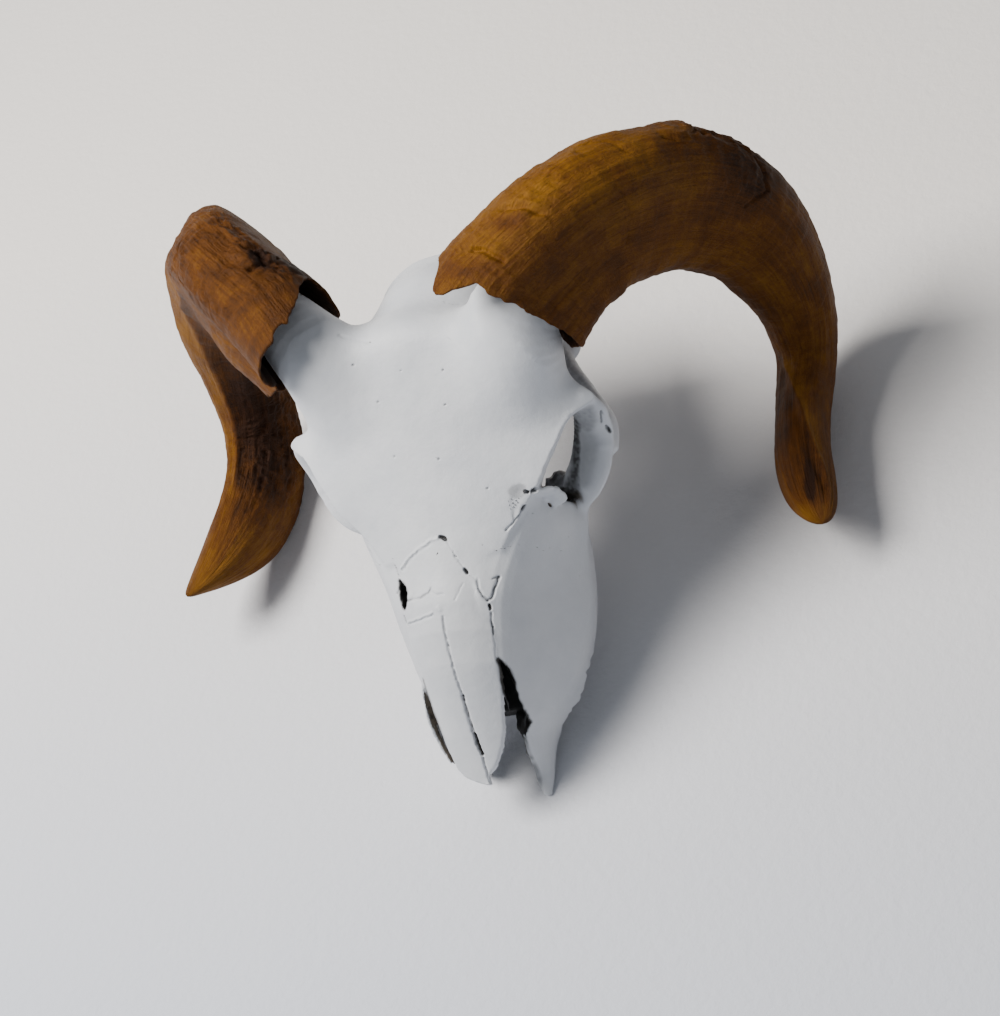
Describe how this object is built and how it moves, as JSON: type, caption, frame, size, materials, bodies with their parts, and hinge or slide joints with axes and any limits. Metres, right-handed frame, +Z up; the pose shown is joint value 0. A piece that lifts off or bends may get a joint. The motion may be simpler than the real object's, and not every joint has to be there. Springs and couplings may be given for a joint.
{
  "type": "ram skull",
  "caption": "Ram skull without its lower jaw, painted white, with a pair of curled brown horn sheaths, one of them slid out on its core.",
  "frame": {"origin": "centre of the footprint's bounding box, on the surface that the skull rests on", "axes": "+Z up, +X to the animal's left, across the horns, +Y from the muzzle to the back of the head"},
  "size_m": [0.3298, 0.256, 0.2004],
  "materials": {
    "painted_bone": "bone under a thin matt coat of cool white paint, with fine pits",
    "horn": "dry fibrous horn, satin, ochre to dark brown"
  },
  "bodies": {
    "root": {"occipital": "painted_bone", "brain_case": "painted_bone", "frontals": "painted_bone", "sphenoid": "painted_bone", "zygomatic_left": "painted_bone", "zygomatic_right": "painted_bone", "lacrimal_left": "painted_bone", "lacrimal_right": "painted_bone", "maxilla_left": "painted_bone", "maxilla_right": "painted_bone", "nasal_left": "painted_bone", "nasal_right": "painted_bone", "horn_sheath_left": "horn", "horn_sheath_right": "horn"}
  },
  "joints": []
}
